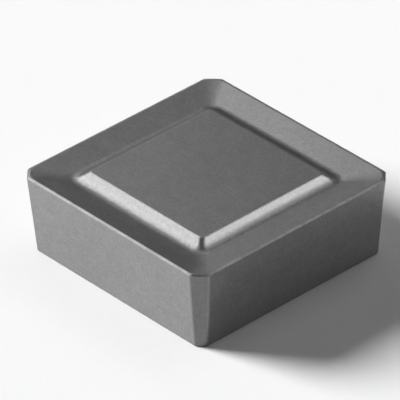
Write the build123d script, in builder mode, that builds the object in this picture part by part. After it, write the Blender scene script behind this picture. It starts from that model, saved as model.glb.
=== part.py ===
"""Square carbide indexable insert: positive flanks with a flat across each corner, no hole, chamfered
cutting edges, and a chipbreaker that runs all the way round a raised flat island. It is pressed and
sintered in one piece.

The seat face lies on Z = 0 with the insert's axis on Z; each cutting edge is square to X or Y.
"""

import os
from math import radians, sqrt, tan

from build123d import *

# Body, in mm and degrees
side = 19.05  # across opposite cutting edges, which is the inscribed circle
thickness = 6.35  # from the seat face up to the cutting edges
corner_flat_leg = 0.9  # taken off each side by the flat across a corner, at the cutting edges
clearance_angle = 5.0  # lean of the flanks and corner flats, which draw in towards the seat
corner_edge_radius = 0.5  # rounding between a flank and a corner flat
seat_edge_radius = 0.05  # rounding where the flanks meet the seat

# Chamfered cutting edge, in mm and degrees
chamfer_width = 0.2  # across the chamfer, seen from above
chamfer_angle = 20.0  # rise of the chamfer from the cutting edge inwards
crest_width = 0.06  # level crest between the chamfer and the chipbreaker

# Chipbreaker, in mm and degrees
rim_slope = 9.4  # fall of the rim from the crest towards the island
island_side = 11.9  # across the flats of the island's top
island_rise = 0.24  # height of the island's top above the cutting edges
island_corner_radius = 0.36  # rounding of the island's corners, seen from above
island_edge_radius = 0.3  # rounding of the island's top edge
wall_angle = 38.0  # lean of the island's walls from the level
foot_radius = 1.2  # hollow that joins the rim to the island's walls

crest_rise = chamfer_width * tan(radians(chamfer_angle))
crest_height = thickness + crest_rise

# The crest's outline keeps the chamfer's width along the sides and across the corner flats
crest_side = side - 2 * chamfer_width
crest_flat_leg = corner_flat_leg - (2 - sqrt(2)) * chamfer_width
crest_edge_radius = corner_edge_radius - chamfer_width

# The groove's corners are cones that keep the crest's width in the middle of each corner flat
groove_inset = chamfer_width + crest_width
groove_side = side - 2 * groove_inset
groove_corner_radius = corner_flat_leg * (1 + 1 / sqrt(2)) - groove_inset

# The section runs inwards from the cutting edge. The rim's line falls from the crest, the wall's line
# falls outwards from the island's top edge, and the island's foot is where the two lines cross.
island_height = thickness + island_rise
wall_top_inset = (side - island_side) / 2
rim_fall = tan(radians(rim_slope))
wall_fall = tan(radians(wall_angle))
drop_at_wall = wall_top_inset * wall_fall - island_height
foot_inset = (drop_at_wall + crest_height + groove_inset * rim_fall) / (rim_fall + wall_fall)
foot_side = side - 2 * foot_inset
foot_height = crest_height - (foot_inset - groove_inset) * rim_fall

with BuildPart() as insert_body:
    # Body: it draws in from the cutting edges to the seat, with a flat across each corner
    edge_plane = Plane.XY.offset(thickness)
    with BuildSketch(edge_plane) as edge_outline:
        Rectangle(side, side)
        chamfer(edge_outline.vertices(), corner_flat_leg)
    extrude(amount=-thickness)
    draft(insert_body.faces().filter_by(Axis.Z, reverse=True), edge_plane, -clearance_angle)
    fillet(insert_body.edges().filter_by_position(Axis.Z, 0, thickness, (False, False)), corner_edge_radius)

    # Chamfer: from the cutting edges up and in to the crest
    cutting_face = insert_body.faces().sort_by(Axis.Z)[-1]
    with BuildSketch(Plane.XY.offset(crest_height), mode=Mode.PRIVATE) as crest_outline:
        Rectangle(crest_side, crest_side)
        chamfer(crest_outline.vertices(), crest_flat_leg)
        fillet(crest_outline.vertices(), crest_edge_radius)
    loft([cutting_face, crest_outline.sketch], ruled=True)

    # Rim: a shallow funnel inside the crest, down to the island's foot
    with BuildSketch(Plane.XY.offset(crest_height)):
        RectangleRounded(groove_side, groove_side, groove_corner_radius)
    with BuildSketch(Plane.XY.offset(foot_height)):
        RectangleRounded(foot_side, foot_side, island_corner_radius)
    loft(ruled=True, mode=Mode.SUBTRACT)

    # Island: it rises from its foot to above the cutting edges
    with BuildSketch(Plane.XY.offset(foot_height)):
        RectangleRounded(foot_side, foot_side, island_corner_radius)
    with BuildSketch(Plane.XY.offset(island_height)):
        RectangleRounded(island_side, island_side, island_corner_radius)
    loft(ruled=True)

    # Hollow round the island's foot
    fillet(insert_body.edges().filter_by_position(Axis.Z, foot_height, foot_height), foot_radius)

    # Rounded edges of the island's top and of the seat
    seat_face, crest_face, island_face = insert_body.faces().filter_by(Axis.Z).sort_by(Axis.Z)
    fillet(island_face.edges(), island_edge_radius)
    fillet(seat_face.edges(), seat_edge_radius)

insert_body.part.label = "insert_body"

os.makedirs("parts", exist_ok=True)
export_step(insert_body.part, "parts/insert_body.step")
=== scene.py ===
from math import cos, pi, radians, sin, tan

import bpy
from mathutils import Matrix, Vector


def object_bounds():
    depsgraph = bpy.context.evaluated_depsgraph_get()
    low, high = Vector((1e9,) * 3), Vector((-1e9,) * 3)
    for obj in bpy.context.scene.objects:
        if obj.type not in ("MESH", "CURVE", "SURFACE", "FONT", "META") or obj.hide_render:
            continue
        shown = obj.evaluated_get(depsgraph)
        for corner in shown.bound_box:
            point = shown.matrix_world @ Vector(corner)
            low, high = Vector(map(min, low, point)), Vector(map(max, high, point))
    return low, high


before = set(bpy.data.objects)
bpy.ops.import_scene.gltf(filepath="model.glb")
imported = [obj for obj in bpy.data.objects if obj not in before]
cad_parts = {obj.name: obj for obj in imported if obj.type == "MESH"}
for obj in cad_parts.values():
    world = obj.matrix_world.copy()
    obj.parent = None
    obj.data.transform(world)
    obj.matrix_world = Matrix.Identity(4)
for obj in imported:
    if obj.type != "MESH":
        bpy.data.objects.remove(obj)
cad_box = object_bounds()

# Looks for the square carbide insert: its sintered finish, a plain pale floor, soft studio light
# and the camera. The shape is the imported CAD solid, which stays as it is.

MM = 0.001  # m
WHITE = (1.0, 1.0, 1.0, 1.0)

# Camera, round the insert's axis
IMAGE_SIDE = 400  # pixels
FOCAL_LENGTH = 6064.0  # pixels
SENSOR_WIDTH = 36.0  # mm
CAMERA_AZIMUTH = 47.883  # degrees from the front (-Y) towards the right (+X)
CAMERA_ELEVATION = 33.703  # degrees above the horizon
CAMERA_ROLL = -1.15  # degrees
CAMERA_DISTANCE = 0.4354675  # m
CAMERA_AIM = Vector((-0.000684, -0.000029, 0.003907))  # m, the point in the middle of the view
CLIP_START = 0.01  # m
CLIP_END = 20.0  # m

# Floor, just under the seat
FLOOR_SIDE = 4.0  # m
FLOOR_DROP = 0.02 * MM
FLOOR_COLOUR = (0.95, 0.95, 0.95, 1.0)
FLOOR_ROUGHNESS = 1.0
FLOOR_SPECULAR = 0.0
SEAT_HALF = 8.87 * MM  # just inside the seat's edge
SEAT_CORNER_LEG = 0.6 * MM
SEAT_GLOW = 0.45  # lights the seat for views from below; the insert hides it from above

# World: a pale backdrop beyond the floor's far edge, then a dim studio. The heights are sines
# of the elevation.
BACKDROP_LEVEL = 0.8
BACKDROP_TOP = 0.06
STUDIO_START = 0.14
STUDIO_LEVEL = 0.012
CEILING_LEVEL = 0.06
STRAIGHT_UP = 1.0

# Soft lamps round the insert
SOFTBOXES = {
    # name: (azimuth, elevation, half-width, half-height, all in degrees; distance in m; radiance)
    "key_left": (-76.0, 43.0, 26.5, 17.0, 0.35, 2.85),
    "fill_back_left": (-120.0, 40.0, 12.0, 12.0, 0.25, 0.50),
    "fill_low_left": (-121.0, 19.0, 9.0, 7.0, 0.6, 0.38),
    "fill_low_back": (-158.0, 26.0, 7.0, 6.0, 0.6, 0.40),
    "fill_back": (-169.0, 56.0, 12.0, 8.0, 0.6, 1.10),
    "rim_back_right": (150.0, 47.5, 10.0, 10.0, 0.6, 4.6),
    "fill_front": (45.0, 26.0, 45.0, 18.0, 0.6, 0.35),
}
# The floor has the suns in the place of these
METAL_ONLY_LAMPS = ("key_left", "rim_back_right", "fill_front")
SUNS = {
    # name: (azimuth, elevation, angle across, all in degrees; strength in W/m2)
    "sun_left": (-62.0, 29.0, 24.0, 5.4),
    "sun_above": (150.0, 60.0, 60.0, 0.20),
}

# Sintered carbide
CARBIDE_COLOUR = 0.34
CARBIDE_ROUGHNESS = 0.38
GRAIN = {"size": 0.22 * MM, "detail": 2.0, "roughness": 0.6}
MOTTLE = {"size": 0.9 * MM, "detail": 3.0, "roughness": 0.6}
CLOUD = {"size": 4.5 * MM, "detail": 1.0, "roughness": 0.5}
NOISE_MIDDLE = 0.5
GRAIN_CONTRAST = 0.46
MOTTLE_CONTRAST = 0.25
CLOUD_CONTRAST = 0.12
ROUGHNESS_CONTRAST = 0.10
BUMP_HEIGHT = 0.02 * MM
BUMP_STRENGTH = 0.25

# The ground chamfer along the cutting edge, with painted shade that dims its highlight, lifted in
# random worn patches
CHAMFER_WIDTH = 0.2 * MM
CHAMFER_START = 6.33 * MM  # height above the seat
# Painted shade: the chamfer is darkened to dim the highlight it catches
CHAMFER_PAINTED_SHADE = 0.76
WEAR_START = 0.35  # of the mottle, where the chamfer's painted shade begins to lift towards the plain tone
WEAR_END = 0.65
WORN_SHARE = 0.6

# The flats across the corners, and the painted shade on them
CORNER_FLAT_LEG = 0.9 * MM
# Painted shade: the corner flats are darkened as a stand-in for the darker surroundings they
# reflect
CORNER_PAINTED_SHADE = 0.50
SIDE_LEAN = 0.3  # most that a side's normal points up or down
# The lesser of the normal's X and Y, from where a flank starts to turn to where the flat begins
CORNER_TURN = (0.05, 0.5)


def direction(azimuth, elevation):
    """The unit vector from the insert towards that azimuth and elevation, in degrees."""
    a = radians(azimuth)
    e = radians(elevation)
    return Vector((sin(a) * cos(e), -cos(a) * cos(e), sin(e)))


def facing(towards):
    """Turns what stands in that direction to look or shine back at the insert."""
    return towards.to_track_quat("Z", "Y").to_matrix().to_4x4()


def link(obj):
    bpy.context.scene.collection.objects.link(obj)
    return obj


def add_camera():
    data = bpy.data.cameras.new("camera")
    data.sensor_width = SENSOR_WIDTH
    data.lens = SENSOR_WIDTH * FOCAL_LENGTH / IMAGE_SIDE
    data.clip_start = CLIP_START
    data.clip_end = CLIP_END
    camera = link(bpy.data.objects.new("camera", data))
    back = direction(CAMERA_AZIMUTH, CAMERA_ELEVATION)
    rolled = facing(back) @ Matrix.Rotation(radians(CAMERA_ROLL), 4, "Z")
    camera.matrix_world = Matrix.Translation(CAMERA_AIM + back * CAMERA_DISTANCE) @ rolled
    bpy.context.scene.camera = camera


class Nodes:
    """A short way to lay out a node tree: each call adds one node and wires its inputs."""

    def __init__(self, tree):
        self.tree = tree

    def wire(self, node, inputs):
        """Sets each input of the node to a number or colour, or links it to another's output."""
        for socket, value in inputs.items():
            if isinstance(value, bpy.types.NodeSocket):
                self.tree.links.new(value, node.inputs[socket])
            else:
                node.inputs[socket].default_value = value

    def add(self, kind, inputs=None, **settings):
        node = self.tree.nodes.new(kind)
        for name, value in settings.items():
            setattr(node, name, value)
        self.wire(node, inputs or {})
        return node

    def axes(self, vector):
        return self.add("ShaderNodeSeparateXYZ", {0: vector}).outputs

    def math(self, operation, *values):
        return self.add("ShaderNodeMath", dict(enumerate(values)), operation=operation).outputs[0]

    def ramp(self, value, start, end, low=0.0, high=1.0):
        """Smooth step of value from low at start to high at end."""
        inputs = {"Value": value, "From Min": start, "From Max": end, "To Min": low, "To Max": high}
        return self.add("ShaderNodeMapRange", inputs, interpolation_type="SMOOTHSTEP").outputs[0]

    def noise(self, vector, size, detail, roughness):
        """Noise of that grain size in metres, spread about NOISE_MIDDLE."""
        inputs = {"Vector": vector, "Scale": 1 / size, "Detail": detail, "Roughness": roughness}
        return self.add("ShaderNodeTexNoise", inputs).outputs[0]

    def vary(self, noise, contrast, middle):
        """The middle value plus the noise's swing times the contrast."""
        swing = self.math("SUBTRACT", noise, NOISE_MIDDLE)
        return self.math("MULTIPLY_ADD", swing, contrast, middle)


def cut_square_half(nodes, axes, half, corner_leg):
    """How far out a place is, on the scale of squares with cut corners.

    On the square of that half-width, with corners cut by that leg, the result is half. Squares
    offset from it have their own half-widths.
    """
    x = nodes.math("ABSOLUTE", axes["X"])
    y = nodes.math("ABSOLUTE", axes["Y"])
    corner = nodes.math("SUBTRACT", nodes.math("ADD", x, y), half - corner_leg)
    return nodes.math("MAXIMUM", nodes.math("MAXIMUM", x, y), corner)


def floor_material():
    """Pale and matt, and clear from below."""
    material = bpy.data.materials.new("floor")
    material.use_nodes = True
    nodes = Nodes(material.node_tree)
    axes = nodes.axes(nodes.add("ShaderNodeTexCoord").outputs["Object"])
    reach = cut_square_half(nodes, axes, SEAT_HALF, SEAT_CORNER_LEG)
    glow = nodes.math("MULTIPLY", nodes.math("LESS_THAN", reach, SEAT_HALF), SEAT_GLOW)
    shader = material.node_tree.nodes["Principled BSDF"]
    nodes.wire(shader, {
        "Base Color": FLOOR_COLOUR,
        "Roughness": FLOOR_ROUGHNESS,
        "Specular IOR Level": FLOOR_SPECULAR,
        "Emission Color": WHITE,
        "Emission Strength": glow,
    })
    side = nodes.add("ShaderNodeNewGeometry").outputs["Backfacing"]
    clear = nodes.add("ShaderNodeBsdfTransparent").outputs[0]
    mix = nodes.add("ShaderNodeMixShader", {0: side, 1: shader.outputs[0], 2: clear})
    nodes.wire(material.node_tree.nodes["Material Output"], {"Surface": mix.outputs[0]})
    return material


def add_floor():
    half = FLOOR_SIDE / 2
    mesh = bpy.data.meshes.new("floor")
    corners = [(-half, -half, 0), (half, -half, 0), (half, half, 0), (-half, half, 0)]
    mesh.from_pydata(corners, [], [(0, 1, 2, 3)])
    mesh.materials.append(floor_material())
    floor = link(bpy.data.objects.new("floor", mesh))
    floor.location.z = -FLOOR_DROP


def add_softbox(name, azimuth, elevation, half_width, half_height, distance, radiance):
    data = bpy.data.lights.new(name, "AREA")
    data.shape = "RECTANGLE"
    data.size = 2 * distance * tan(radians(half_width))
    data.size_y = 2 * distance * tan(radians(half_height))
    data.energy = radiance * data.size * data.size_y * pi
    towards = direction(azimuth, elevation)
    lamp = link(bpy.data.objects.new(name, data))
    lamp.matrix_world = Matrix.Translation(towards * distance) @ facing(towards)
    lamp.visible_camera = False
    lamp.visible_diffuse = name not in METAL_ONLY_LAMPS


def add_sun(name, azimuth, elevation, angle, strength):
    """A broad light that the matt floor sees; the metal sees the softboxes instead."""
    data = bpy.data.lights.new(name, "SUN")
    data.energy = strength
    data.angle = radians(angle)
    sun = link(bpy.data.objects.new(name, data))
    sun.matrix_world = facing(direction(azimuth, elevation))
    sun.visible_glossy = False


def light_world():
    world = bpy.data.worlds.new("studio")
    world.use_nodes = True
    nodes = Nodes(world.node_tree)
    height = nodes.axes(nodes.add("ShaderNodeTexCoord").outputs["Generated"])["Z"]
    backdrop = nodes.ramp(height, BACKDROP_TOP, STUDIO_START, BACKDROP_LEVEL, STUDIO_LEVEL)
    ceiling = nodes.ramp(height, STUDIO_START, STRAIGHT_UP, 0.0, CEILING_LEVEL - STUDIO_LEVEL)
    strength = nodes.math("ADD", backdrop, ceiling)
    nodes.wire(world.node_tree.nodes["Background"], {"Color": WHITE, "Strength": strength})
    bpy.context.scene.world = world


def chamfer_painted_shade_mask(nodes, place):
    """Where the chamfer's painted shade goes: one on the ground chamfer along the cutting edge and
    nought elsewhere.
    """
    axes = nodes.axes(place)
    half = max(corner[0] for corner in cad_box)
    reach = cut_square_half(nodes, axes, half, CORNER_FLAT_LEG)
    near_edge = nodes.math("GREATER_THAN", reach, half - CHAMFER_WIDTH)
    return nodes.math("MULTIPLY", near_edge, nodes.math("GREATER_THAN", axes["Z"], CHAMFER_START))


def corner_painted_shade_mask(nodes):
    """Where the corners' painted shade goes: one on the flats across the four corners, nought
    elsewhere, between on the roundings.
    """
    parts = nodes.axes(nodes.add("ShaderNodeTexCoord").outputs["Normal"])
    x = nodes.math("ABSOLUTE", parts["X"])
    y = nodes.math("ABSOLUTE", parts["Y"])
    upright = nodes.math("LESS_THAN", nodes.math("ABSOLUTE", parts["Z"]), SIDE_LEAN)
    return nodes.math("MULTIPLY", nodes.ramp(nodes.math("MINIMUM", x, y), *CORNER_TURN), upright)


def carbide():
    material = bpy.data.materials.new("sintered_carbide")
    material.use_nodes = True
    nodes = Nodes(material.node_tree)
    place = nodes.add("ShaderNodeTexCoord").outputs["Object"]
    grain = nodes.noise(place, **GRAIN)
    mottle = nodes.noise(place, **MOTTLE)
    cloud = nodes.noise(place, **CLOUD)
    speckle = nodes.vary(grain, GRAIN_CONTRAST, 1.0)
    patches = nodes.vary(mottle, MOTTLE_CONTRAST, speckle)
    tone = nodes.vary(cloud, CLOUD_CONTRAST, patches)
    # Painted shade on the chamfer and on the corner flats darkens the grey; on the chamfer it lifts
    # in random worn patches
    unworn = nodes.ramp(mottle, WEAR_START, WEAR_END, 1.0, 1 - WORN_SHARE)
    chamfer_shade_amount = nodes.math("MULTIPLY", chamfer_painted_shade_mask(nodes, place), unworn)
    chamfer_shade_factor = nodes.math("MULTIPLY_ADD", chamfer_shade_amount, CHAMFER_PAINTED_SHADE - 1, 1.0)
    painted_shade_factor = nodes.math("MULTIPLY_ADD", corner_painted_shade_mask(nodes), CORNER_PAINTED_SHADE - 1, chamfer_shade_factor)
    level = nodes.math("MULTIPLY", nodes.math("MULTIPLY", tone, painted_shade_factor), CARBIDE_COLOUR)
    grey = nodes.add("ShaderNodeCombineColor", {"Red": level, "Green": level, "Blue": level})
    bump_inputs = {"Height": grain, "Strength": BUMP_STRENGTH, "Distance": BUMP_HEIGHT}
    nodes.wire(material.node_tree.nodes["Principled BSDF"], {
        "Metallic": 1.0,
        "Base Color": grey.outputs[0],
        "Roughness": nodes.vary(mottle, ROUGHNESS_CONTRAST, CARBIDE_ROUGHNESS),
        "Normal": nodes.add("ShaderNodeBump", bump_inputs).outputs[0],
    })
    return material


bpy.context.scene.view_settings.view_transform = "Standard"
insert_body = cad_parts["insert_body"]
insert_body.data.materials.clear()
insert_body.data.materials.append(carbide())
add_camera()
add_floor()
light_world()
for sun_name, settings in SUNS.items():
    add_sun(sun_name, *settings)
for softbox_name, settings in SOFTBOXES.items():
    add_softbox(softbox_name, *settings)
